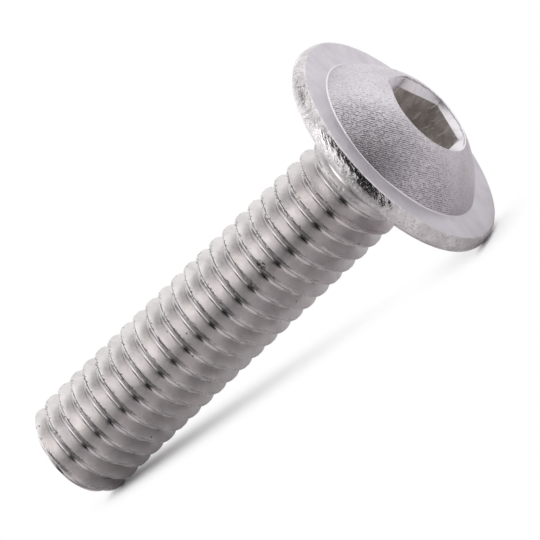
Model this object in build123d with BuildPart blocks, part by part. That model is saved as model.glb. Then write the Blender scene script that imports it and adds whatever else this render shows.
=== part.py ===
from build123d import *
from math import asin, atan2, ceil, cos, degrees, hypot, radians, sin, tan
import os

# Flanged button head screw with a hexagon socket, M6 x 25, in one piece.
# Millimetres and degrees. Heights along the screw are measured from the
# bearing face under the flange: the head is at plus, the tip at minus.

# Thread: metric profile, right hand, rolled up to just short of the neck.
thread_major_dia = 5.88
thread_pitch = 1.0
thread_depth = 0.613
thread_flank = 30.0  # from square to the axis
crest_width = 0.125
shank_length = 24.6  # bearing face to tip
tip_dia = 4.85
tip_slope = 45.0  # of the chamfer, from the axis
first_crest = 0.85  # tip end to the first crest, on the side that lies down
neck_length = 1.6
runout_slope = 19.0  # of the ridge's taper and the root's rise, from the axis
neck_flare_dia = 5.8  # where the neck has flared out into the bearing face
neck_flare_length = 0.45

# Flange: a washer-like rim that is forged, so its edge is a soft bulge.
flange_dia = 13.24
flange_top_dia = 12.86
flange_edge_height = 1.05  # thickness at the edge
rim_radius = 0.43  # rounds the rim into the bearing face
flange_flat_dia = 11.2  # where the top face starts to sweep up

# Dome.
dome_base_dia = 9.74
dome_base_height = 1.19
dome_radius = 6.0
head_height = 3.19
dome_flat_dia = 5.0  # small flat that carries the mouth of the socket

# Hexagon socket, with a lead-in that opens from the hexagon to a circle.
socket_across_flats = 4.03
socket_depth = 2.15
socket_point = 0.35  # depth of the cone at its bottom
mouth_dia = 4.9
lead_in_depth = 0.52
socket_roll = 22.9  # corner of the hexagon, from the topmost line

# Half widths and radii that follow from the sizes above.
crest_radius = thread_major_dia / 2
tip_radius = tip_dia / 2
root_radius = crest_radius - thread_depth
neck_radius = crest_radius - 0.53 * thread_depth  # the blank before rolling
rim_centre_radius = flange_dia / 2 - rim_radius
buried = 0.1 * thread_pitch  # how far the ridge reaches into the core
spare = thread_pitch  # length past the end of the thread, cut off later
turns_below_tip = 2
hair = 0.02  # keeps the neck's cone from starting on the core's surface


def lying_angle():
    """Tilt of the axis when the rim and one crest near the tip touch the floor."""
    crest_edge = -shank_length + first_crest - crest_width / 2
    along = rim_radius - crest_edge
    across = rim_centre_radius - crest_radius
    return degrees(atan2(across, along) + asin(rim_radius / hypot(along, across)))


# The screw lies along X, head towards +X, on the floor at Z = 0.
tilt = lying_angle()
up, along = cos(radians(tilt)), sin(radians(tilt))
seat_height = rim_radius + rim_centre_radius * up - rim_radius * along
reach_head = head_height * up + dome_flat_dia / 2 * along
reach_tip = shank_length * up + tip_radius * along
seat_x = (reach_tip - reach_head) / 2

# The bearing face, looking along the axis towards the head, and the plane
# that cuts the screw lengthwise: its x is the radius and its y the height.
seat = Plane(origin=(seat_x, 0, seat_height), x_dir=(-along, 0, up), z_dir=(up, 0, along))
section = Plane(origin=seat.origin, x_dir=seat.x_dir, z_dir=-seat.y_dir)
screw_axis = Axis(seat.origin, seat.z_dir)

# The helix starts on the topmost line, far enough below the tip to be cut
# square, at the height that puts the first crest where it touches the floor.
# It is a chain of single turns, which keeps the faces of the ridge short.
helix_start = -shank_length + first_crest - (turns_below_tip + 0.5) * thread_pitch
turns = ceil((spare - neck_length - helix_start) / thread_pitch)
thread_plane = seat.offset(helix_start)
turn = thread_plane * Helix(pitch=thread_pitch, height=thread_pitch, radius=root_radius)
helix = Wire([Pos(seat.z_dir * (thread_pitch * count)) * turn for count in range(turns)])
ridge_plane = Plane(origin=helix @ 0, x_dir=seat.x_dir, z_dir=seat.y_dir)

with BuildPart() as screw:
    # Core of the thread, longer than the ridge at both ends.
    with BuildSketch(seat.offset(helix_start - spare)):
        Circle(root_radius)
    extrude(amount=turns * thread_pitch + 2 * spare)

    # Thread ridge: one trapezoid swept up a right-hand helix.
    crest_half = crest_width / 2
    base_half = crest_half + (thread_depth + buried) * tan(radians(thread_flank))
    with BuildSketch(ridge_plane):
        with BuildLine():
            Polyline(
                (-buried, base_half),
                (thread_depth, crest_half),
                (thread_depth, -crest_half),
                (-buried, -base_half),
                close=True,
            )
        make_face()
    sweep(path=helix, is_frenet=True)

    # Chamfered tip, and the taper that lets the ridge run out at the neck.
    outside = crest_radius + spare
    chamfer_end = (outside - tip_radius) / tan(radians(tip_slope)) - shank_length
    taper_start = (neck_radius - hair - outside) / tan(radians(runout_slope)) - neck_length
    with BuildSketch(section):
        with BuildLine():
            Polyline(
                (0, -shank_length),
                (tip_radius, -shank_length),
                (outside, chamfer_end),
                (outside, taper_start),
                (neck_radius - hair, -neck_length),
                (0, -neck_length),
                close=True,
            )
        make_face()
    revolve(axis=screw_axis, mode=Mode.INTERSECT)

    # Neck, flange and dome, turned about the axis.
    neck_foot = (root_radius - hair - neck_radius) / tan(radians(runout_slope)) - neck_length
    with BuildSketch(section):
        with BuildLine():
            Polyline(
                (0, neck_foot),
                (root_radius - hair, neck_foot),
                (neck_radius, -neck_length),
                (neck_radius, -neck_flare_length),
            )
            EllipticalCenterArc(
                (neck_flare_dia / 2, -neck_flare_length),
                x_radius=neck_flare_dia / 2 - neck_radius,
                y_radius=neck_flare_length,
                start_angle=90,
                arc_size=90,
            )
            Line((neck_flare_dia / 2, 0), (rim_centre_radius, 0))
            RadiusArc((rim_centre_radius, 0), (flange_dia / 2, rim_radius), -rim_radius)
            rim_top = TangentArc(
                (flange_dia / 2, rim_radius),
                (flange_top_dia / 2, flange_edge_height),
                tangent=(0, 1),
            )
            flange_flat = Line(rim_top @ 1, (flange_flat_dia / 2, flange_edge_height))
            TangentArc(
                flange_flat @ 1,
                (dome_base_dia / 2, dome_base_height),
                tangent=flange_flat % 1,
            )
            RadiusArc(
                (dome_base_dia / 2, dome_base_height),
                (dome_flat_dia / 2, head_height),
                -dome_radius,
            )
            Polyline(
                (dome_flat_dia / 2, head_height),
                (0, head_height),
                (0, neck_foot),
            )
        make_face()
    revolve(axis=screw_axis)

    # Hexagon socket with a coned bottom.
    top = seat.offset(head_height)
    with BuildSketch(top):
        RegularPolygon(socket_across_flats / 2, 6, major_radius=False, rotation=socket_roll)
    extrude(amount=-socket_depth, mode=Mode.SUBTRACT)
    with BuildSketch(section):
        floor = head_height - socket_depth
        with BuildLine():
            Polyline((0, floor), (socket_across_flats / 2, floor), (0, floor - socket_point), close=True)
        make_face()
    revolve(axis=screw_axis, mode=Mode.SUBTRACT)

    # Lead-in: six bevels from the hexagon out to the round mouth.
    with BuildSketch(top.offset(-lead_in_depth)):
        RegularPolygon(socket_across_flats / 2, 6, major_radius=False, rotation=socket_roll)
    with BuildSketch(top):
        with BuildLine():
            for side in range(6):
                CenterArc((0, 0), mouth_dia / 2, socket_roll + 60 * side, 60)
        make_face()
    loft(ruled=True, mode=Mode.SUBTRACT)

screw.part.label = "screw"
os.makedirs("parts", exist_ok=True)
export_step(screw.part, "parts/screw.step")
box = screw.part.bounding_box()
print(f"tilt {tilt:.2f} deg, size {box.size}, lowest {box.min.Z:.3f}, middle x {box.center().X:.3f}")
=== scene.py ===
# %% [markdown]
# # A flanged button head screw
#
# This lesson dresses one small stainless screw, M6 by 25 mm, that lies on its
# flange and the crests near its tip. The solid model gives the size and the
# place; here the same forms get what makes rolled and forged steel look real.

# %% Tools
from math import asin, atan2, cos, degrees, exp, hypot, pi, radians, sin, tan

import bmesh
import bpy
from mathutils import Matrix, Vector, noise


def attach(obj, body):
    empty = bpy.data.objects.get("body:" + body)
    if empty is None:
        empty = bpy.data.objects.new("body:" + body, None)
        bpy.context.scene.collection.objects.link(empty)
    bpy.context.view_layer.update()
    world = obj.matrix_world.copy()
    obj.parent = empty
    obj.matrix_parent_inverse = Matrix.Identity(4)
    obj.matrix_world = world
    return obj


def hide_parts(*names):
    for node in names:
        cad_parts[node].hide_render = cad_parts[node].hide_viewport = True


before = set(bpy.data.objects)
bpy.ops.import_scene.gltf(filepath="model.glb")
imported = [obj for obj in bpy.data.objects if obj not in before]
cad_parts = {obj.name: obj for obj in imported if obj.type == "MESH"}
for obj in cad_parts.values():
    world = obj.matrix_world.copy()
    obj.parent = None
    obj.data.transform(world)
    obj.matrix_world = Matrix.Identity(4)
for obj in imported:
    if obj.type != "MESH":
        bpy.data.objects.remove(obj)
bpy.context.view_layer.update()

# %% [markdown]
# ## The screw's own frame
#
# A screw is easiest to shape standing up, with its axis on Z and the bearing
# face under the flange at height zero, in millimetres. One matrix then lays
# the finished mesh down where the solid lies. Local X is the line that ends
# up on top, and local Y points to the front.

# %% Frame of the screw
seat_origin = Vector((10.5778, 0.0, 6.4851))
axis_dir = Vector((0.98864, 0.0, 0.15028)).normalized()
front_dir = Vector((0.0, -1.0, 0.0))
top_dir = front_dir.cross(axis_dir)
lie_down = Matrix.Identity(4)
for column, direction in enumerate((top_dir, front_dir, axis_dir, seat_origin)):
    for row in range(3):
        lie_down[row][column] = direction[row]
to_metres = Matrix.Diagonal((0.001, 0.001, 0.001, 1.0))
place = to_metres @ lie_down
print("top", tuple(round(v, 4) for v in top_dir))

# %% Sizes, millimetres
crest_radius = 2.94
root_radius = crest_radius - 0.613
pitch = 1.0
tip_end = -24.6
tip_radius = 2.425
crest_at_top = -23.25  # height of one crest on the topmost line
neck_top = -1.6
neck_radius = crest_radius - 0.53 * 0.613
runout = tan(radians(19.0))


def move_radius(vert, radius):
    """Slides a vertex straight out from the axis to a radius."""
    now = hypot(vert.co.x, vert.co.y)
    vert.co.x *= radius / now
    vert.co.y *= radius / now


# %% [markdown]
# ## One pitch of the thread
#
# A rolled thread is squeezed up between two dies, and where the metal from
# both flanks meets it leaves two lips with a fine seam between them all along
# the crest. The profile of one pitch is a handful of vertices; bevels on
# single vertices round the root and the lips, which is how the dies leave
# them. Cuts in the flanks give the run-out and the chamfer vertices to work
# with. The outermost and innermost cuts are slid close to the bends, so that
# smooth shading rounds only the bends and leaves the flanks flat.

# %% Profile of one pitch
lip_half = 0.07
lip_radius = crest_radius + 0.02  # before the lips are rounded and set level
lip_rounding = 0.026
seam_depth = 0.075
root_half = 0.085
root_rounding = 0.075
flank_cuts = 5


def wire(bm, points):
    """Joins (radius, height) points with edges in the XZ plane."""
    verts = [bm.verts.new((radius, 0.0, height)) for radius, height in points]
    for pair in zip(verts, verts[1:]):
        bm.edges.new(pair)


def round_corners(bm, low, high, size, segments):
    """Rounds the corners of a wire whose radius lies between two values."""
    bmesh.ops.bevel(
        bm,
        geom=[v for v in bm.verts if low < v.co.x < high and len(v.link_edges) == 2],
        offset=size,
        offset_type="OFFSET",
        affect="VERTICES",
        segments=segments,
        profile=0.5,
        material=-1,
    )


start = crest_at_top - 3.5 * pitch  # well below the tip, cut off later
bm = bmesh.new()
wire(
    bm,
    [
        (root_radius, start),
        (root_radius, start + root_half),
        (lip_radius, start + pitch / 2 - lip_half),
        (crest_radius - seam_depth, start + pitch / 2),
        (lip_radius, start + pitch / 2 + lip_half),
        (root_radius, start + pitch - root_half),
        (root_radius, start + pitch),
    ],
)
round_corners(bm, root_radius - 0.01, root_radius + 0.01, root_rounding, 3)
round_corners(bm, crest_radius, crest_radius + 0.1, lip_rounding, 2)
flanks = [e for e in bm.edges if e.calc_length() > 0.3]
cuts = bmesh.ops.subdivide_edges(bm, edges=flanks, cuts=flank_cuts)["geom_inner"]
cuts = [g for g in cuts if isinstance(g, bmesh.types.BMVert)]
for outermost, share in ((max, 0.85), (min, 0.6)):
    end_radius = outermost(v.co.x for v in cuts)
    for v in [v for v in cuts if abs(v.co.x - end_radius) < 0.001]:
        bend = outermost((e.other_vert(v) for e in v.link_edges), key=lambda end: end.co.x)
        v.co = v.co.lerp(bend.co, share)
lift = crest_radius - max(v.co.x for v in bm.verts)
for v in bm.verts:
    if v.co.x > crest_radius - 0.2:
        v.co.x += lift
print("profile vertices", len(bm.verts), "crest raised by", round(lift, 4))

# %% [markdown]
# ## Winding it up
#
# Spin can climb as it turns: dvec is the rise of each step. One turn of the
# profile makes one coil of a right-hand ribbon. A long spin gets slow, so the
# other coils are copies of the first, moved up by whole pitches, and merging
# the doubles makes the ribbon a tube.

# %% Helix
steps = 90
coils = 26
bmesh.ops.spin(
    bm,
    geom=bm.verts[:] + bm.edges[:],
    cent=(0, 0, 0),
    axis=(0, 0, 1),
    dvec=(0, 0, pitch / steps),
    angle=2 * pi,
    steps=steps,
    use_merge=False,
)
first_coil = bm.verts[:] + bm.edges[:] + bm.faces[:]
for coil in range(1, coils):
    copy = bmesh.ops.duplicate(bm, geom=first_coil)["geom"]
    moved = [g for g in copy if isinstance(g, bmesh.types.BMVert)]
    bmesh.ops.translate(bm, verts=moved, vec=(0, 0, coil * pitch))
bmesh.ops.remove_doubles(bm, verts=bm.verts, dist=0.004)
print("ribbon", len(bm.verts), "vertices")

# %% [markdown]
# ## Run-out, chamfer and wear of the thread
#
# Towards the head the dies stop: the root rises and the crest fades on one
# cone each, until both meet the plain neck. At the tip a 45 degree chamfer cuts
# the first crests. Both are limits on the radius, so every vertex is slid in or
# out to stay between them. A little noise then nicks the lips, always inwards,
# because nothing may stand out past the major diameter. One crest near the middle
# also took a knock, a small ragged dent.

# %% Limits of the radius
def shank_limits(height):
    """Smallest and largest radius of the shank at a height."""
    below_neck = max(0.0, neck_top - height)
    low = neck_radius - below_neck * runout
    high = neck_radius + below_neck * runout
    return low, min(high, tip_radius + max(0.0, height - tip_end), crest_radius)


def speckle(point, size, seed=0.0):
    """Smooth noise from -1 to 1 whose grains are about size millimetres."""
    return noise.noise(point / size + Vector((seed, seed, seed)))


# %% Shape the shank
bruise_at = Vector((0.64, 2.86, -8.04))
bruise_size = 0.24
bruise_depth = 0.07
lip_zone = crest_radius - 0.09  # the lips and the seam lie outside this radius
for v in bm.verts:
    radius = hypot(v.co.x, v.co.y)
    low, high = shank_limits(v.co.z)
    worn = min(max(radius, low), high)
    if radius > lip_zone:
        small_nick = 0.008 * max(0.0, speckle(v.co, 0.22, 3.0))
        wide_nick = 0.01 * max(0.0, speckle(v.co, 0.5, 7.0) - 0.2)
        worn -= small_nick + wide_nick
        knock = exp(-(((v.co - bruise_at).length / bruise_size) ** 2))
        worn -= bruise_depth * knock * (0.7 + 0.6 * speckle(v.co, 0.13, 29.0))
        if high < crest_radius:  # crushed where the crest was never filled
            worn -= 0.03 * abs(speckle(v.co, 0.16, 5.0))
    if worn != radius:
        move_radius(v, worn)
print("lowest root", round(min(hypot(v.co.x, v.co.y) for v in bm.verts), 3))

# %% [markdown]
# ## Cutting the ends
#
# Bisect slices the tube at the tip and in the neck and clears what lies beyond.
# The tip's open ring is extruded inwards three times and closed on one point.
# The first ring lies close to the edge, so the corner stays crisp under smooth
# shading.

# %% Ends of the shank
join_height = -1.3
for height, upper in ((tip_end, False), (join_height, True)):
    bmesh.ops.bisect_plane(
        bm,
        geom=bm.verts[:] + bm.edges[:] + bm.faces[:],
        dist=0.0005,
        plane_co=(0, 0, height),
        plane_no=(0, 0, 1),
        clear_outer=upper,
        clear_inner=not upper,
    )
bmesh.ops.remove_doubles(bm, verts=bm.verts, dist=0.004)
end_ring = [e for e in bm.edges if e.is_boundary and e.verts[0].co.z < -20]
for shrink in (0.94, 0.6, 0.2):
    grown = bmesh.ops.extrude_edge_only(bm, edges=end_ring)["geom"]
    ring_verts = [g for g in grown if isinstance(g, bmesh.types.BMVert)]
    end_ring = [g for g in grown if isinstance(g, bmesh.types.BMEdge)]
    for v in ring_verts:
        move_radius(v, tip_radius * shrink)
        v.co.z = tip_end
bmesh.ops.pointmerge(bm, verts=ring_verts, merge_co=(0, 0, tip_end))
shank_faces = set(bm.faces)
print("shank", len(bm.faces), "faces")

# %% [markdown]
# ## The head's outline
#
# Neck, flange, rim and dome are one round form, so one outline spun about the
# axis makes them. Each straight run is a row of edges. Each arc is a spin too:
# one vertex turned about the arc's centre in the XZ plane. Merging the doubles
# joins the runs into one wire.

# %% Pens for the outline
def run(bm, start, end, parts):
    """A straight row of edges from one (radius, height) to another."""
    a, b = Vector(start), Vector(end)
    wire(bm, [a.lerp(b, part / parts) for part in range(parts + 1)])


def arc(bm, start, end, radius, parts):
    """An arc between two points. A radius above zero bulges to the right of the way."""
    a, b = Vector(start), Vector(end)
    half = (b - a).length / 2
    left = Vector((a.y - b.y, b.x - a.x)).normalized()
    reach = (radius**2 - half**2) ** 0.5
    centre = (a + b) / 2 + left * (reach if radius > 0 else -reach)
    sweep = 2 * asin(half / abs(radius)) * (1 if radius > 0 else -1)
    bmesh.ops.spin(
        bm,
        geom=[bm.verts.new((a.x, 0.0, a.y))],
        cent=(centre.x, 0.0, centre.y),
        axis=(0, -1, 0),
        angle=sweep,
        steps=parts,
        use_merge=False,
    )


# %% Outline of the head
flange_radius = 6.62
rim_radius = 0.43
side_end = (6.481, 0.967)  # where the bulged side rolls over into the top
flange_top = 1.05
top_edge = (6.341, flange_top)
flat_radius = 5.0
sweep_end = (4.94, 1.07)  # a hair of a ledge, which catches the light
dome_base = (4.925, 1.1)
dome_radius = 6.0
head_top = 3.19
mouth_radius = 2.45
dome_top_radius = mouth_radius + 0.05

head = bmesh.new()
run(head, (neck_radius, join_height + 0.06), (neck_radius, -0.45), 5)
arc(head, (neck_radius, -0.45), (2.9, 0.0), -0.42, 6)
run(head, (2.9, 0.0), (flange_radius - rim_radius, 0.0), 8)
arc(head, (flange_radius - rim_radius, 0.0), (flange_radius, rim_radius), rim_radius, 8)
arc(head, (flange_radius, rim_radius), side_end, 1.107, 8)
arc(head, side_end, top_edge, 0.16, 6)
run(head, top_edge, (flat_radius + 0.03, flange_top), 7)
run(head, (flat_radius + 0.03, flange_top), (flat_radius, flange_top), 1)
arc(head, (flat_radius, flange_top), sweep_end, -0.1, 3)
run(head, sweep_end, dome_base, 1)
arc(head, dome_base, (dome_top_radius, head_top), dome_radius, 20)
bmesh.ops.remove_doubles(head, verts=head.verts, dist=0.002)
loose_ends = [v for v in head.verts if len(v.link_edges) == 1]
print("outline", len(head.verts), "vertices")
print("ends", [(round(v.co.x, 3), round(v.co.z, 3)) for v in loose_ends])

# %% Spin the head
around = 360
socket_roll = 22.9  # a corner of the hexagon, so one vertex falls on each corner
to_corner = Matrix.Rotation(radians(socket_roll), 3, "Z")
bmesh.ops.rotate(head, verts=head.verts, cent=(0, 0, 0), matrix=to_corner)
bmesh.ops.spin(
    head,
    geom=head.verts[:] + head.edges[:],
    cent=(0, 0, 0),
    axis=(0, 0, 1),
    angle=2 * pi,
    steps=around,
    use_merge=True,
)
print("head", len(head.faces), "faces")

# %% [markdown]
# ## A forged rim is never smooth
#
# The rim is the one place where no die touches the metal. It bulges out
# freely, and its skin tears into little ridges. Its vertices slide inwards by
# noise with grains of a few tenths of a millimetre; finer tears are left to the
# material. Nothing moves where the rim stands on the table.

# %% Roughen the rim
def free_skin(vert, radius):
    """How free the metal of the rim was at a vertex, from 0 to 1."""
    above_die = min(1.0, max(0.0, (vert.co.z - 0.06) / 0.2))
    below_top = min(1.0, max(0.0, (flange_top - vert.co.z) / 0.07))
    off_table = min(1.0, (vert.co.x + radius) / 0.1)
    return above_die * below_top * off_table


rim_inside = 6.2  # the rim's skin lies outside this radius
moved = 0
for v in head.verts:
    radius = hypot(v.co.x, v.co.y)
    if radius > rim_inside and 0.0 < v.co.z < flange_top:
        tear = 0.5 + 0.5 * speckle(v.co, 0.42, 11.0)
        fine = 0.5 + 0.5 * speckle(v.co, 0.19, 17.0)
        move_radius(v, radius - free_skin(v, radius) * (0.03 * tear + 0.014 * fine))
        moved += 1
print("rim vertices moved", moved)

# %% [markdown]
# ## The hexagon socket
#
# The key's hexagon is punched into a round mouth, and the punch drags a bevel
# down from the circle to each flat. A ring that is extruded inwards again and
# again gives every surface in turn: the ring starts as the mouth, its vertices
# slide onto the hexagon, go down the walls and close on the coned bottom. The
# punch was a little off square, so the hexagon's upper edge isn't level, and the
# mouth bulges out on one side.

# %% Shape of the socket
half_flats = 2.015
floor_height = 1.04
floor_point = 0.69
corner_heights = [2.36, 2.67, 2.67, 2.85, 2.85, 2.5]
bulge_most = 0.2
bulge_spread = 0.5  # how far the dome gives way outside the mouth


def hexagon(angle):
    """Radius of the hexagon and height of its upper edge at an angle in degrees."""
    along = ((angle - socket_roll) % 360) / 60
    side = int(along) % 6
    share = along - int(along)
    top = corner_heights[side] * (1 - share) + corner_heights[(side + 1) % 6] * share
    return half_flats / cos(radians(60 * share - 30)), top


def bump_at(angle, middle, width):
    """A smooth hump around an angle, 1 at its middle."""
    return exp(-((((angle - middle + 180) % 360 - 180) / width) ** 2))


def bulge(angle):
    """How far the punch pushed the mouth out of round on one side."""
    return bulge_most * bump_at(angle, 6, 13)


def mouth(angle):
    """Radius and height of the mouth."""
    return mouth_radius + bulge(angle), head_top - 0.02 - 0.5 * bulge(angle)


def part_way(a, b, share):
    """A (radius, height) that lies some share of the way from one to another."""
    return tuple(p * (1 - share) + q * share for p, q in zip(a, b))


def ring_down(bm, ring, shape):
    """Extrudes a ring of edges and sets each new vertex from its angle."""
    grown = bmesh.ops.extrude_edge_only(bm, edges=ring)["geom"]
    for v in [g for g in grown if isinstance(g, bmesh.types.BMVert)]:
        angle = degrees(atan2(v.co.y, v.co.x)) % 360
        radius, v.co.z = shape(angle)
        move_radius(v, radius)
    return [g for g in grown if isinstance(g, bmesh.types.BMEdge)]


# %% [markdown]
# The punch also folds a thin lip of metal over inside the mouth, on the side
# away from the front. Such a lap shows as a hair-fine crooked groove, so three
# rings stand close together there and the middle one is pushed into the metal.

# %% The lap inside the mouth
lap_width = 0.055  # as a share of the way from the mouth to the hexagon
lap_depth = 0.06
lap_from = 176  # degrees
lap_to = 338
lap_fade = 12
roomy_bevel = 0.26  # width of bevel from which the groove has its full depth


def lap(angle):
    """Where the groove runs, as a share of the bevel, and how deep it is."""
    turn = Vector((cos(radians(angle)), sin(radians(angle)), 0)) * 2.4
    crooked = 0.05 * speckle(turn, 0.5, 21.0) + 0.06 * speckle(turn, 0.17, 27.0)
    where = 0.15 - 0.07 * bump_at(angle, 200, 25) + crooked
    room = min(1.0, (mouth_radius - hexagon(angle)[0]) / roomy_bevel)
    fade_in = min(1.0, max(0.0, (angle - lap_from) / lap_fade))
    fade_out = min(1.0, max(0.0, (lap_to - angle) / lap_fade))
    uneven = 0.75 + 0.5 * speckle(turn, 0.3, 23.0)
    return where, lap_depth * room * (fade_in * fade_out) * uneven


def lap_ring(side):
    """One ring of the groove: -1 its outer lip, 0 its bottom, 1 its inner lip."""

    def shape(angle):
        where, depth = lap(angle)
        radius, height = part_way(mouth(angle), hexagon(angle), where + side * lap_width)
        if side == 0:
            return radius + 0.5 * depth, height - depth
        return radius, height + (0.35 * depth if side < 0 else 0)

    return shape


# %% Sink the socket
bulge_end = dome_top_radius + bulge_spread
for v in head.verts:
    radius = hypot(v.co.x, v.co.y)
    if radius < bulge_end and v.co.z > 2.5:  # the dome gives way to the bulge of the mouth
        pushed = bulge(degrees(atan2(v.co.y, v.co.x))) * (bulge_end - radius) / bulge_spread
        move_radius(v, radius + pushed)
        v.co.z -= 0.5 * pushed
dome_faces = len(head.faces)
ring = [e for e in head.edges if e.is_boundary and e.verts[0].co.z > 2]
ring = ring_down(head, ring, mouth)
for side in (-1, 0, 1):
    ring = ring_down(head, ring, lap_ring(side))
for share in (0.45, 0.6, 0.8, 0.95, 1.0):
    ring = ring_down(head, ring, lambda a: part_way(mouth(a), hexagon(a), share))
bevel_faces = len(head.faces)
for share in (0.03, 0.1, 0.3, 0.6, 1.0):
    ring = ring_down(head, ring, lambda a: part_way(hexagon(a), (hexagon(a)[0], floor_height), share))
for radius, height in ((2.0, floor_height), (1.3, 0.914), (0.6, 0.79), (0.12, 0.7)):
    ring = ring_down(head, ring, lambda a: (radius, height))
last = {v for e in ring for v in e.verts}
bmesh.ops.pointmerge(head, verts=list(last), merge_co=(0, 0, floor_point))
print("socket", len(head.faces) - dome_faces, "faces")

# %% [markdown]
# ## Which surface is which
#
# Each way of making leaves its own finish. Faces are told apart by where they
# are, and the order here is the order in which the materials are added.

# %% Sort the faces
seat_radius = 2.62  # here the neck has begun to flare into the bearing face
finishes = [
    "rolled_thread",
    "forged_rim",
    "satin_flange",
    "frosted_dome",
    "sheared_bevel",
    "punched_wall",
    "die_pressed_seat",
    "cropped_end",
]
for number, face in enumerate(head.faces):
    middle = face.calc_center_median()
    radius = hypot(middle.x, middle.y)
    if number >= bevel_faces:
        finish = "punched_wall"
    elif number >= dome_faces:
        finish = "sheared_bevel"
    elif middle.z < 0.001:
        finish = "die_pressed_seat" if radius > seat_radius else "rolled_thread"
    elif middle.z < flange_top and radius > top_edge[0]:
        finish = "forged_rim"
    elif radius > dome_base[0]:
        finish = "satin_flange"
    else:
        finish = "frosted_dome"
    face.material_index = finishes.index(finish)
for face in shank_faces:
    on_end = face.calc_center_median().z < tip_end + 0.01
    face.material_index = finishes.index("cropped_end" if on_end else "rolled_thread")

# %% [markdown]
# ## One closed mesh
#
# The head's mesh is added to the shank's, and bridging the two rings in the
# neck closes the skin, so the screw is one piece as the real one is.

# %% Join head and shank
parcel = bpy.data.meshes.new("head_parcel")
head.to_mesh(parcel)
head.free()
bm.from_mesh(parcel)
bpy.data.meshes.remove(parcel)
gap = [e for e in bm.edges if e.is_boundary]
bridge = bmesh.ops.bridge_loops(bm, edges=gap)
bmesh.ops.recalc_face_normals(bm, faces=bm.faces)
open_edges = [e for e in bm.edges if not e.is_manifold]
triangles = sum(len(f.verts) - 2 for f in bm.faces)
print("bridged with", len(bridge["faces"]), "faces, open edges", len(open_edges))
print("triangles", triangles)

# %% [markdown]
# ## Lying down
#
# The object itself stays at the origin, unturned, and its place goes into the
# mesh. Smooth shading keeps the round forms round, and edges that turn by more
# than the crisp angle stay sharp.

# %% Lay it down
crisp_angle = 38  # degrees
bmesh.ops.transform(bm, matrix=place, verts=bm.verts)
lowest = min(v.co.z for v in bm.verts)
screw_mesh = bpy.data.meshes.new("button_head_screw")
bm.to_mesh(screw_mesh)
bm.free()
screw_mesh.shade_smooth()
screw_mesh.set_sharp_from_angle(angle=radians(crisp_angle))
screw = bpy.data.objects.new("button_head_screw", screw_mesh)
bpy.context.scene.collection.objects.link(screw)
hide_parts("screw")
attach(screw, "root")
print("lowest point", round(lowest * 1000, 4), "mm")

# %% [markdown]
# ## Stainless steel, by how each surface was made
#
# The whole screw is one alloy, A2 stainless steel, bright grey with a breath of
# violet from pickling. What changes is how rough it is and what marks it. Every
# finish is a metal on a Principled shader, and reads coordinates in real
# millimetres along the screw's own axes, so a grain of 0.1 mm is a noise scale
# of 10. The finest grain of such steel is too small to show at this distance, so
# the finest patterns are drawn at about 0.1 mm, coarser than they are.
#
# One function adds a node of any kind. Its inputs go by name or number, and each
# gets a number, an sRGB hex colour or another node's output. It hands back one
# output, ready for the next node.

# %% Adding a node
smooth = {"interpolation_type": "SMOOTHSTEP"}


def linear(hex_colour):
    """sRGB hex to the linear colour that shaders use."""
    parts = [int(hex_colour[i : i + 2], 16) / 255 for i in (1, 3, 5)]
    return tuple(p / 12.92 if p <= 0.04045 else ((p + 0.055) / 1.055) ** 2.4 for p in parts) + (1.0,)


def add(tree, kind, inputs, out=0, **properties):
    """Adds a node, sets its properties, and sets or links each of its inputs."""
    made = tree.nodes.new(kind)
    for name, value in properties.items():
        setattr(made, name, value)
    for socket, value in inputs.items():
        if isinstance(value, bpy.types.NodeSocket):
            tree.links.new(value, made.inputs[socket])
        else:
            made.inputs[socket].default_value = linear(value) if isinstance(value, str) else value
    return made.outputs[out]


# %% A steel and its coordinates
def steel(name, colour, roughness):
    """A metal with its shader and its coordinates in millimetres along the screw."""
    material = bpy.data.materials.new(name)
    material.use_nodes = True
    tree = material.node_tree
    shader = tree.nodes["Principled BSDF"]
    shader.inputs["Base Color"].default_value = linear(colour)
    shader.inputs["Metallic"].default_value = 1.0
    shader.inputs["Roughness"].default_value = roughness
    upright = place.inverted()
    stand_up = {
        "Vector": add(tree, "ShaderNodeTexCoord", {}, "Object"),
        "Location": upright.to_translation(),
        "Rotation": upright.to_quaternion().to_euler(),
        "Scale": (1000, 1000, 1000),
    }
    screw_mesh.materials.append(material)
    return tree, shader, add(tree, "ShaderNodeMapping", stand_up)


def unroll(tree, spot, radius):
    """Coordinates of the skin laid flat: mm round the axis, mm along it, mm out from it."""
    x, y, height = add(tree, "ShaderNodeSeparateXYZ", {0: spot}).node.outputs
    angle = add(tree, "ShaderNodeMath", {0: y, 1: x}, operation="ARCTAN2")
    around = add(tree, "ShaderNodeMath", {0: angle, 1: radius}, operation="MULTIPLY")
    flat = add(tree, "ShaderNodeVectorMath", {0: spot, 1: (1, 1, 0)}, operation="MULTIPLY")
    out = add(tree, "ShaderNodeVectorMath", {0: flat}, "Value", operation="LENGTH")
    return add(tree, "ShaderNodeCombineXYZ", {0: around, 1: height, 2: out}), height, out


# %% [markdown]
# A mask is 1 where a mark lies and 0 elsewhere. It comes from a measure, such as
# the height along the screw or the grey of a noise, that passes from one value to
# another. Colours are laid over each other through masks and bumps are stacked,
# so one mask can make a mark both dark and sunk.

# %% Masks, streaks and layers
def within(tree, *steps):
    """A mask: 1 where every measure has passed from its first value to its second."""
    mask = None
    for measure, low, high in steps:
        step = add(tree, "ShaderNodeMapRange", {0: measure, 1: low, 2: high}, **smooth)
        mask = add(tree, "ShaderNodeMath", {0: mask, 1: step}, operation="MULTIPLY") if mask else step
    return mask


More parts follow.
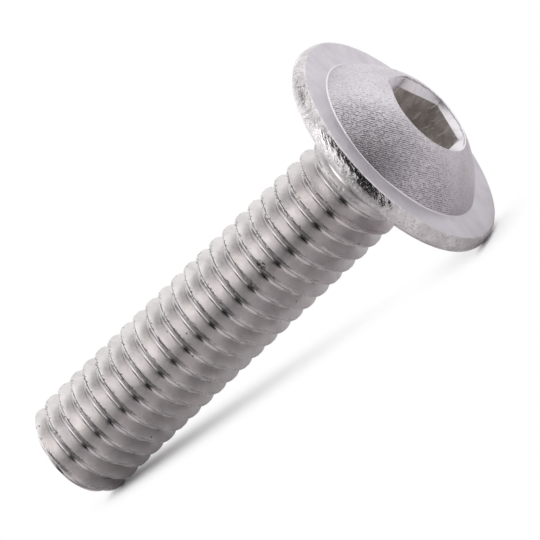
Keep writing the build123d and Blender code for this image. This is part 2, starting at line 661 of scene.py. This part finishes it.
def streaks(tree, skin, scale, detail, roughness, stretch, turn=0.0):
    """Noise whose grains are stretched and then turned; scale is grains per mm."""
    laid = {"Vector": skin, "Scale": stretch, "Rotation": (0, 0, radians(turn))}
    bent = add(tree, "ShaderNodeMapping", laid, vector_type="TEXTURE")
    grain = {"Vector": bent, "Scale": scale, "Detail": detail, "Roughness": roughness}
    return add(tree, "ShaderNodeTexNoise", grain)


def only_where(tree, mask, grey):
    """Noise about zero where the mask is 1, so the mask's own edge makes no step."""
    about_zero = add(tree, "ShaderNodeMath", {0: grey, 1: 0.5}, operation="SUBTRACT")
    return add(tree, "ShaderNodeMath", {0: mask, 1: about_zero}, operation="MULTIPLY")


def lay_colours(tree, shader, ground, *layers):
    """Lays colours over a ground, each through its own mask."""
    for mask, colour in layers:
        ground = add(tree, "ShaderNodeMix", {0: mask, 6: ground, 7: colour}, 2, data_type="RGBA")
    tree.links.new(ground, shader.inputs["Base Color"])


def emboss(tree, shader, *layers):
    """Stacks bumps, each a pattern and how many mm its height of 1 stands proud."""
    below = {}
    for height, depth in layers:
        normal = add(tree, "ShaderNodeBump", {"Height": height, "Distance": depth * 0.001, **below})
        below = {"Normal": normal}
    tree.links.new(normal, shader.inputs["Normal"])
    print(screw_mesh.materials[-1].name, len(tree.nodes), "nodes,", len(layers), "bumps")


# %% [markdown]
# ## The rolled thread
#
# Hardened dies iron the flanks to a satin and burnish the root and the crest
# harder, so those two are shinier. Pickling leaves faint smoky clouds, and a few
# pits show as dark specks. The roots are painted a darker grey, mostly on the
# upper side, which is painted shade in the valleys. The upper side was worn by
# tumbling about with other screws: there the lips of the crest are nicked. There
# the seam between the lips is painted dark too, which is painted shade in its groove.
#
# The seam needs to know where the crest runs. The height less the thread's rise
# at this angle is the same all along the helix, so a Ping-Pong of half a pitch
# turns it into the distance from the nearest crest.

# %% Where the crest runs
tree, shader, spot = steel("rolled_thread", "#DEDADA", 0.3)
skin, height, out = unroll(tree, spot, crest_radius)
crest = within(tree, (out, crest_radius - 0.09, crest_radius - 0.03))
root = within(tree, (out, root_radius + 0.12, root_radius + 0.02))
around = add(tree, "ShaderNodeSeparateXYZ", {0: skin})
rise = -pitch / (2 * pi * crest_radius)
climb = add(tree, "ShaderNodeMath", {0: around, 1: rise, 2: height}, operation="MULTIPLY_ADD")
coil = add(tree, "ShaderNodeMath", {0: climb, 1: crest_at_top}, operation="SUBTRACT")
across = add(tree, "ShaderNodeMath", {0: coil, 1: pitch / 2}, operation="PINGPONG")
print("rise of the thread", round(-rise, 4), "mm for each mm round the crest")

# %% Wear and painted shade
# The upper side carries the wear of the crests and also the painted shade of the roots and the seam.
upper_side_from = -1.0  # mm above the axis
upper_side_to = 0.8
towards_top = add(tree, "ShaderNodeSeparateXYZ", {0: spot})
worn_and_shaded_side = add(tree, "ShaderNodeMapRange", {0: towards_top, 1: upper_side_from, 2: upper_side_to, 3: 0.15}, **smooth)
worn_crest = add(tree, "ShaderNodeMath", {0: worn_and_shaded_side, 1: crest}, operation="MULTIPLY")
chips = add(tree, "ShaderNodeTexNoise", {"Vector": spot, "Scale": 7, "Detail": 2, "Roughness": 0.6})
chips = within(tree, (chips, 0.58, 0.66))
nicks = add(tree, "ShaderNodeMath", {0: chips, 1: worn_crest}, operation="MULTIPLY")
# Painted shade: the seam groove between the lips is darkened on the upper side, broken up by noise.
seam_breaks = add(tree, "ShaderNodeTexNoise", {"Vector": spot, "Scale": 1.4, "Detail": 3, "Roughness": 0.7})
seam = within(tree, (across, 0.03, 0.01), (seam_breaks, 0.4, 0.55))
seam = add(tree, "ShaderNodeMath", {0: seam, 1: worn_and_shaded_side}, operation="MULTIPLY")
# Painted shade: the roots are darkened, mostly on the upper side.
root_shade = within(tree, (out, root_radius + 0.14, root_radius + 0.03))
root_shade = add(tree, "ShaderNodeMath", {0: worn_and_shaded_side, 1: root_shade}, operation="MULTIPLY")
print("the worn side fades in over", upper_side_to - upper_side_from, "mm")

# %% [markdown]
# Voronoi puts one pit into about half of its cells, picked by their colour. The
# bruise is one knock on a crest: its distance mask is broken up by noise, as
# crushed metal is. The skin is raw and glitters where the crest was never
# filled, beside the neck and on the first turn.

# %% Pits, bruise and raw ends
pit_cell = add(tree, "ShaderNodeTexVoronoi", {"Vector": spot, "Scale": 1.15, "Randomness": 1.0}, "Distance")
lottery = add(tree, "ShaderNodeSeparateXYZ", {0: pit_cell.node.outputs["Color"]})
pits = within(tree, (pit_cell, 0.075, 0.04), (lottery, 0.5, 0.55))
from_bruise = add(tree, "ShaderNodeVectorMath", {0: spot, 1: bruise_at}, "Value", operation="DISTANCE")
crushed = add(tree, "ShaderNodeTexNoise", {"Vector": spot, "Scale": 8, "Detail": 2, "Roughness": 0.6})
bruise = within(tree, (from_bruise, 0.4, 0.2), (crushed, 0.46, 0.54))
raw_top = within(
    tree,
    (height, neck_top - 1.25, neck_top - 0.9),
    (height, neck_top - 0.05, neck_top - 0.25),
    (out, neck_radius - 0.04, neck_radius + 0.02),
    (across, 0.26, 0.16),
)
raw_tip = within(tree, (height, tip_end + 0.6, tip_end + 0.35), (out, tip_radius - 0.1, tip_radius))
raw = add(tree, "ShaderNodeMath", {0: raw_top, 1: raw_tip}, operation="ADD", use_clamp=True)
torn = add(tree, "ShaderNodeTexNoise", {"Vector": spot, "Scale": 7, "Detail": 3, "Roughness": 0.65})
print("bruise at", tuple(bruise_at))

# %% Finish of the thread
clouds = add(tree, "ShaderNodeTexNoise", {"Vector": spot, "Scale": 0.9, "Detail": 4, "Roughness": 0.6})
clouds = within(tree, (clouds, 0.35, 0.7))
# The darker roots and the dark seam laid here are painted shade; the other colours are the steel's own.
lay_colours(
    tree,
    shader,
    "#E4E0DF",
    (clouds, "#D4D0D1"),
    (root_shade, "#C6C1C2"),
    (pits, "#4A4444"),
    (nicks, "#7A7474"),
    (bruise, "#443F3F"),
    (seam, "#827C7C"),
)
satin = add(tree, "ShaderNodeTexNoise", {"Vector": spot, "Scale": 2.2, "Detail": 3, "Roughness": 0.6})
satin = add(tree, "ShaderNodeMapRange", {0: satin, 1: 0.3, 2: 0.7, 3: 0.3, 4: 0.38}, **smooth)
half_ironed = add(tree, "ShaderNodeMath", {0: crest, 1: 0.4}, operation="MULTIPLY")
ironed = add(tree, "ShaderNodeMath", {0: half_ironed, 1: root}, operation="MAXIMUM")
burnish = add(tree, "ShaderNodeMix", {0: ironed, 2: satin, 3: 0.16})
tree.links.new(burnish, shader.inputs["Roughness"])
grain = add(tree, "ShaderNodeTexNoise", {"Vector": spot, "Scale": 11, "Detail": 2, "Roughness": 0.5})
emboss(
    tree,
    shader,
    (grain, 0.0022),
    (streaks(tree, skin, 9, 2, 0.5, (8, 1, 1)), 0.0016),
    (only_where(tree, raw, torn), 0.06),
    (nicks, -0.02),
    (bruise, -0.03),
)

# %% [markdown]
# ## The forged rim
#
# The torn skin of the rim is bright metal at many little angles. Seen against
# light it sparkles, and against dark it breaks into flame-shaped black flecks.
# The flecks lean, because the metal flows outwards and sideways at once, so the
# noise is turned after it is stretched. Crisp grey specks of scale lie all over,
# and the rim's lower part is duller and more crumbly.

# %% Finish of the rim
tree, shader, spot = steel("forged_rim", "#DEDADB", 0.25)
skin, height, out = unroll(tree, spot, flange_radius)
tears = streaks(tree, skin, 5.5, 2, 0.55, (3, 1, 1), -16)
crumbs = add(tree, "ShaderNodeTexNoise", {"Vector": spot, "Scale": 9, "Detail": 2, "Roughness": 0.6})
patches = add(tree, "ShaderNodeTexNoise", {"Vector": spot, "Scale": 1.3, "Detail": 3, "Roughness": 0.6})
specks = add(tree, "ShaderNodeTexNoise", {"Vector": spot, "Scale": 6, "Detail": 3, "Roughness": 0.7})
scabs = add(tree, "ShaderNodeTexNoise", {"Vector": spot, "Scale": 7, "Detail": 3, "Roughness": 0.7})
patches = within(tree, (patches, 0.35, 0.65))
specks = within(tree, (specks, 0.5, 0.64))
lay_colours(tree, shader, "#E6E2E3", (patches, "#D2CECF"), (specks, "#C2BDBE"))
lower_part = within(tree, (height, 0.66, 0.46))
dull = add(tree, "ShaderNodeMapRange", {0: crumbs, 1: 0.3, 2: 0.7, 3: 0.16, 4: 0.28}, **smooth)
duller = add(tree, "ShaderNodeMix", {0: lower_part, 2: dull, 3: 0.32})
tree.links.new(duller, shader.inputs["Roughness"])
off_seat = add(tree, "ShaderNodeMapRange", {0: height, 1: 0.0, 2: 0.2, 3: 0.25}, **smooth)
off_top = within(tree, (out, top_edge[0] - 0.02, top_edge[0] + 0.1))
free = add(tree, "ShaderNodeMath", {0: off_seat, 1: off_top}, operation="MULTIPLY")
free_lower = add(tree, "ShaderNodeMath", {0: free, 1: lower_part}, operation="MULTIPLY")
emboss(
    tree,
    shader,
    (only_where(tree, free, tears), 0.06),
    (only_where(tree, free, crumbs), 0.01),
    (only_where(tree, free_lower, scabs), 0.045),
)

# %% [markdown]
# ## The flange's top
#
# A flat die pressed this face, so it is the calmest on the screw: an even satin
# with soft smudges and a faint grain round the axis. The hair-thin ledge at the
# dome's foot is smoother, and its lighter colour is a painted highlight.

# %% Finish of the flange
tree, shader, spot = steel("satin_flange", "#D3CED4", 0.33)
skin, height, out = unroll(tree, spot, 5.7)
ledge = within(tree, (out, flat_radius, flat_radius - 0.02))
smudge = add(tree, "ShaderNodeTexNoise", {"Vector": spot, "Scale": 0.8, "Detail": 4, "Roughness": 0.6})
smudge = within(tree, (smudge, 0.35, 0.7))
# The ledge's lighter colour is a painted highlight.
lay_colours(tree, shader, "#D7D2D9", (smudge, "#CCC7CE"), (ledge, "#EDEAED"))
even = add(tree, "ShaderNodeTexNoise", {"Vector": spot, "Scale": 1.7, "Detail": 3, "Roughness": 0.55})
even = add(tree, "ShaderNodeMapRange", {0: even, 1: 0.3, 2: 0.7, 3: 0.36, 4: 0.44}, **smooth)
satin = add(tree, "ShaderNodeMix", {0: ledge, 2: even, 3: 0.3})
tree.links.new(satin, shader.inputs["Roughness"])
fine = add(tree, "ShaderNodeTexNoise", {"Vector": spot, "Scale": 13, "Detail": 2, "Roughness": 0.5})
emboss(tree, shader, (fine, 0.0022), (streaks(tree, skin, 7, 2, 0.5, (5, 1, 1)), 0.003))

# %% [markdown]
# ## The frosted dome
#
# The dome was coined in a worn die, whose fine ripple prints through as rows of
# short dashes, over an even frost from blasting. The ripple lies on the front side
# only and fades into plain speckle elsewhere; its dashes are painted dark, which is
# painted shade in the ripple. The rows are a sine of the distance along one
# direction, and noise added to that distance lets them wander. A second noise
# breaks the rows into dashes. Real rows lie about 0.08 mm apart; they are drawn
# 0.1 mm apart, so that they show.

# %% Finish of the dome
row_spacing = 0.1
across_rows = (0.471, -0.418, 0.777)
tree, shader, spot = steel("frosted_dome", "#D6D1D6", 0.4)
towards_front = add(tree, "ShaderNodeSeparateXYZ", {0: spot}, "Y")
row = add(tree, "ShaderNodeVectorMath", {0: spot, 1: across_rows}, "Value", operation="DOT_PRODUCT")
row = add(tree, "ShaderNodeMath", {0: row, 1: 2 * pi / row_spacing}, operation="MULTIPLY")
wander = add(tree, "ShaderNodeTexNoise", {"Vector": spot, "Scale": 2.6, "Detail": 4, "Roughness": 0.75})
row = add(tree, "ShaderNodeMath", {0: wander, 1: 11.0, 2: row}, operation="MULTIPLY_ADD")
rows = add(tree, "ShaderNodeMath", {0: row}, operation="SINE")
breaks = add(tree, "ShaderNodeTexNoise", {"Vector": spot, "Scale": 6, "Detail": 3, "Roughness": 0.7})
shaded_dashes = within(tree, (rows, -0.2, 0.7), (breaks, 0.36, 0.56), (towards_front, 1.7, 3.5))
frost = add(tree, "ShaderNodeTexNoise", {"Vector": spot, "Scale": 12, "Detail": 2, "Roughness": 0.6})
dust = within(tree, (frost, 0.53, 0.66))
veil = add(tree, "ShaderNodeTexNoise", {"Vector": spot, "Scale": 0.7, "Detail": 4, "Roughness": 0.6})
veil = within(tree, (veil, 0.35, 0.7))
# The dark dashes are painted shade in the ripple rows.
lay_colours(tree, shader, "#DCD7DC", (veil, "#D0CBD0"), (dust, "#BCB6BB"), (shaded_dashes, "#8A838A"))
matte = add(tree, "ShaderNodeMapRange", {0: frost, 1: 0.3, 2: 0.7, 3: 0.36, 4: 0.46}, **smooth)
tree.links.new(matte, shader.inputs["Roughness"])
emboss(tree, shader, (frost, 0.026), (shaded_dashes, -0.012))

# %% [markdown]
# ## Bevels and walls of the socket
#
# The punch shears the bevels bright, with faint drag lines that run down into
# the hole. The walls below keep a film of drawing soap and scale, so they are
# browner, duller and scored along the punch's way.

# %% Finish of the bevels
tree, shader, spot = steel("sheared_bevel", "#DEDADE", 0.42)
skin = unroll(tree, spot, 2.2)[0]
drag = streaks(tree, skin, 7, 3, 0.6, (1, 6, 6))
lay_colours(tree, shader, "#F3F0F3", (within(tree, (drag, 0.4, 0.75)), "#E6E2E6"))
grain = add(tree, "ShaderNodeTexNoise", {"Vector": spot, "Scale": 10, "Detail": 2, "Roughness": 0.5})
emboss(tree, shader, (drag, 0.003), (grain, 0.004))

# %% Finish of the walls
tree, shader, spot = steel("punched_wall", "#B7ABA2", 0.5)
skin = unroll(tree, spot, 2.1)[0]
scores = streaks(tree, skin, 5, 4, 0.65, (1, 4, 3), 8)
film = add(tree, "ShaderNodeTexNoise", {"Vector": spot, "Scale": 1.6, "Detail": 4, "Roughness": 0.6})
film = within(tree, (film, 0.35, 0.65))
scratched = within(tree, (scores, 0.52, 0.66))
lay_colours(tree, shader, "#E2DDDA", (film, "#C2BCB9"), (scratched, "#FAF6F2"))
scored = add(tree, "ShaderNodeMapRange", {0: scores, 1: 0.3, 2: 0.7, 3: 0.42, 4: 0.6}, **smooth)
tree.links.new(scored, shader.inputs["Roughness"])
crumbs = add(tree, "ShaderNodeTexNoise", {"Vector": spot, "Scale": 6, "Detail": 3, "Roughness": 0.6})
emboss(tree, shader, (scores, 0.03), (crumbs, 0.012))

# %% [markdown]
# ## Under the flange and at the tip
#
# The bearing face was pressed against the die's face, which was turned on a
# lathe, so it carries faint rings. The end of the shank is where the wire was
# cropped: half sheared, half torn, and coarser than anything else.

# %% Finish of the seat
tree, shader, spot = steel("die_pressed_seat", "#CFC9CE", 0.33)
skin = unroll(tree, spot, 4.5)[0]
rings = streaks(tree, skin, 9, 2, 0.5, (30, 1, 1))
blotch = add(tree, "ShaderNodeTexNoise", {"Vector": spot, "Scale": 1.1, "Detail": 4, "Roughness": 0.6})
blotch = within(tree, (blotch, 0.35, 0.7))
lay_colours(tree, shader, "#D4CED3", (blotch, "#C3BCC1"))
grain = add(tree, "ShaderNodeTexNoise", {"Vector": spot, "Scale": 9, "Detail": 2, "Roughness": 0.5})
emboss(tree, shader, (rings, 0.004), (grain, 0.004))

# %% Finish of the end
tree, shader, spot = steel("cropped_end", "#C6C0C2", 0.4)
towards_top = add(tree, "ShaderNodeSeparateXYZ", {0: spot})
tear_side = within(tree, (towards_top, -0.6, 0.6))
shear = streaks(tree, spot, 5, 3, 0.6, (6, 1, 1))
torn = add(tree, "ShaderNodeTexNoise", {"Vector": spot, "Scale": 5, "Detail": 4, "Roughness": 0.7})
lay_colours(tree, shader, "#D6D0D2", (within(tree, (torn, 0.35, 0.75)), "#BDB7B8"))
emboss(tree, shader, (shear, 0.02), (only_where(tree, tear_side, torn), 0.07))
print("materials", [m.name for m in screw_mesh.materials])

# %% [markdown]
# ## The camera
#
# A long lens from 0.3 metres away keeps such a small thing nearly free of
# perspective. The camera is rolled, so that the screw runs from the lower left
# to the upper right although it lies on a level table.

# %% Camera
right = Vector((0.7580, 0.2137, -0.6162))
up = Vector((0.5186, 0.3755, 0.7680))
back = right.cross(up)
eye = Vector((0.12211, -0.27481, 0.05791))
camera_data = bpy.data.cameras.new("camera")
camera_data.lens = 398.9
camera_data.sensor_width = 36
camera_data.clip_start = 0.01
camera_data.clip_end = 20
camera = bpy.data.objects.new("camera", camera_data)
camera.matrix_world = Matrix(
    (
        (right.x, up.x, back.x, eye.x),
        (right.y, up.y, back.y, eye.y),
        (right.z, up.z, back.z, eye.z),
        (0, 0, 0, 1),
    )
)
bpy.context.scene.collection.objects.link(camera)
bpy.context.scene.camera = camera
print("camera", round(eye.length, 3), "m from the origin")

# %% [markdown]
# ## A white table
#
# The table is plain white, and its material fades from a matt white that takes
# shadows to a glow of strength 1, which is pure white. Ambient Occlusion says
# how near the screw is, so the contact shadow stays and the rest is clean
# background. The glow is for rays from the camera and from shiny or clear
# things, so a mirror would show the same white table.

# %% Floor
def studio_sheet(name, sheet_bm, colour):
    """Makes a sheet of one matt colour, and returns it with its node tree."""
    mesh = bpy.data.meshes.new(name)
    sheet_bm.to_mesh(mesh)
    sheet_bm.free()
    sheet = bpy.data.objects.new(name, mesh)
    bpy.context.scene.collection.objects.link(sheet)
    material = bpy.data.materials.new(name)
    material.use_nodes = True
    shader = material.node_tree.nodes["Principled BSDF"]
    shader.inputs["Base Color"].default_value = linear(colour)
    shader.inputs["Roughness"].default_value = 1.0
    shader.inputs["Specular IOR Level"].default_value = 0.0
    mesh.materials.append(material)
    return sheet, material.node_tree


def flat_sheet(width, depth, matrix):
    """A bmesh of one rectangle."""
    sheet_bm = bmesh.new()
    bmesh.ops.create_grid(sheet_bm, x_segments=1, y_segments=1, size=0.5)
    bmesh.ops.scale(sheet_bm, verts=sheet_bm.verts, vec=(width, depth, 1))
    bmesh.ops.transform(sheet_bm, verts=sheet_bm.verts, matrix=matrix)
    return sheet_bm


table_size = 6  # metres, far beyond the view
contact_reach = 0.0044  # metres over which the screw darkens the table
table = flat_sheet(table_size, table_size, Matrix.Identity(4))
floor, tree = studio_sheet("white_table", table, "#F9F9F9")
nearby = add(tree, "ShaderNodeAmbientOcclusion", {"Distance": contact_reach}, "AO", samples=12)
open_table = within(tree, (nearby, 0.04, 0.72))
ray = add(tree, "ShaderNodeLightPath", {}).node.outputs
seen = add(tree, "ShaderNodeMath", {0: ray["Is Camera Ray"], 1: ray["Is Glossy Ray"]}, operation="MAXIMUM")
seen = add(tree, "ShaderNodeMath", {0: seen, 1: ray["Is Transmission Ray"]}, operation="MAXIMUM")
share = add(tree, "ShaderNodeMath", {0: seen, 1: open_table}, operation="MULTIPLY")
glow = add(tree, "ShaderNodeEmission", {"Color": (1, 1, 1, 1), "Strength": 1.0})
matt = tree.nodes["Principled BSDF"].outputs[0]
blend = add(tree, "ShaderNodeMixShader", {0: share, 1: matt, 2: glow})
tree.links.new(blend, tree.nodes["Material Output"].inputs["Surface"])
print(floor.name, table_size, "m wide")

# %% [markdown]
# ## Cards, because metal shows its surroundings
#
# A bright metal in an all-white room looks like plaster. What draws its form is
# what it reflects, so cards stand and lie around it: a dark horizon in front that
# goes on in grey to the side, a small flag that darkens the roots of the thread,
# a dark flag beside the camera that fades out sideways, and one more above it.
# Dark and grey cards lie on the table, and a small grey one hangs overhead. The
# smallest lies along the shank; it is painted shade, a grey strip for the shade on
# the table under the shank as the metal reflects it. All the cards take part in
# reflections only. Each upright card is a bent strip, spun from one edge about the screw.

# %% Making a card
card_reach = 0.4  # metres from the screw to the cards around it


def bent_strip(from_azimuth, to_azimuth, low, high):
    """A strip of cylinder; azimuths in degrees from the front towards the head."""
    strip = bmesh.new()
    start = (card_reach * sin(radians(from_azimuth)), -card_reach * cos(radians(from_azimuth)))
    ends = [strip.verts.new((*start, height)) for height in (low, high)]
    edge = strip.edges.new(ends)
    bmesh.ops.spin(
        strip,
        geom=ends + [edge],
        cent=(0, 0, 0),
        axis=(0, 0, 1),
        angle=radians(to_azimuth - from_azimuth),
        steps=24,
        use_merge=False,
    )
    return strip


def lying(width, depth, *middle):
    """A rectangle that lies a hair above the table, in metres."""
    return flat_sheet(width, depth, Matrix.Translation(middle))


def facing_screw(azimuth, elevation, reach):
    """A frame at some distance from the screw, whose -Z looks at it."""
    flat = cos(radians(elevation))
    across = sin(radians(azimuth)) * flat
    away = Vector((across, -cos(radians(azimuth)) * flat, sin(radians(elevation))))
    return Matrix.Translation(away * reach) @ away.to_track_quat("Z", "Y").to_matrix().to_4x4()


# %% Cards
black = "#161416"
flag_fade_from = 52  # degrees of azimuth
flag_fade_to = 99
cards = {
    "dark_horizon": (bent_strip(-33, 60, 0.0, 0.08), black),
    "grey_horizon": (bent_strip(-95, -33, 0.0, 0.055), "#5A585A"),
    "root_flag": (bent_strip(-35, -25, 0.08, 0.2), black),
    "tall_flag": (bent_strip(9, 46, 0.38, 0.62), black),
    "camera_flag": (bent_strip(9, flag_fade_to, 0.0, 0.38), black),
    "front_card": (lying(0.6, 0.5, 0.05, -0.272, 0.00006), black),
    "grey_card": (lying(0.13, 0.13, 0, 0, 0.00003), "#D8D5D7"),
    # Painted shade: a grey strip where the table under the shank lies in shade, seen only in reflections.
    "contact_shade_card": (lying(0.024, 0.0026, -0.003, -0.0032, 0.00009), "#B0AEB0"),
    "overhead_card": (flat_sheet(0.2, 0.16, facing_screw(-125, 68, card_reach)), "#8C8A8C"),
}
trees = {}
for name, (card_bm, colour) in cards.items():
    card, trees[name] = studio_sheet(name, card_bm, colour)
    card.visible_camera = False
    card.visible_diffuse = False
    card.visible_shadow = False
print("cards", list(cards))

# %% The camera flag fades out
tree = trees["camera_flag"]
where = add(tree, "ShaderNodeTexCoord", {}, "Object")
swung = add(tree, "ShaderNodeMapping", {"Vector": where, "Rotation": (0, 0, radians(90))})
azimuth = add(tree, "ShaderNodeTexGradient", {"Vector": swung}, "Fac", gradient_type="RADIAL")
start = 0.5 + flag_fade_from / 360
end = 0.5 + flag_fade_to / 360
fade = add(tree, "ShaderNodeMapRange", {0: azimuth, 1: start, 2: end, 3: 0.008, 4: 0.9})
tree.links.new(fade, tree.nodes["Principled BSDF"].inputs["Base Color"])
print("the flag fades from", flag_fade_from, "to", flag_fade_to, "degrees")

# %% [markdown]
# ## Lamps
#
# The room itself is an even white, and three large softboxes lift the sides
# that should sparkle. A softbox of a given radiance needs power in proportion
# to its area, so the helper takes the radiance.

# %% Lamps and world
lamp_reach = 0.6  # metres from the screw to the lamps


def softbox(name, azimuth, elevation, width, height, radiance):
    """A rectangular lamp of a given radiance that faces the screw."""
    lamp = bpy.data.lights.new(name, "AREA")
    lamp.shape = "RECTANGLE"
    lamp.size = width
    lamp.size_y = height
    lamp.energy = radiance * pi * width * height
    lamp_object = bpy.data.objects.new(name, lamp)
    lamp_object.matrix_world = facing_screw(azimuth, elevation, lamp_reach)
    bpy.context.scene.collection.objects.link(lamp_object)
    print(name, round(lamp.energy, 3), "W")


softbox("front_softbox", -50, 40, 0.42, 0.4, 1.1)
softbox("window_softbox", -135, 12, 0.5, 0.26, 0.65)
softbox("back_softbox", 128, 36, 0.4, 0.3, 0.25)

world = bpy.data.worlds.new("studio")
bpy.context.scene.world = world
world.use_nodes = True
sky = world.node_tree.nodes["Background"]
sky.inputs["Color"].default_value = (1, 1, 1, 1)
sky.inputs["Strength"].default_value = 1.0
bpy.context.scene.view_settings.view_transform = "Standard"

# %% Update the scene
bpy.context.view_layer.update()
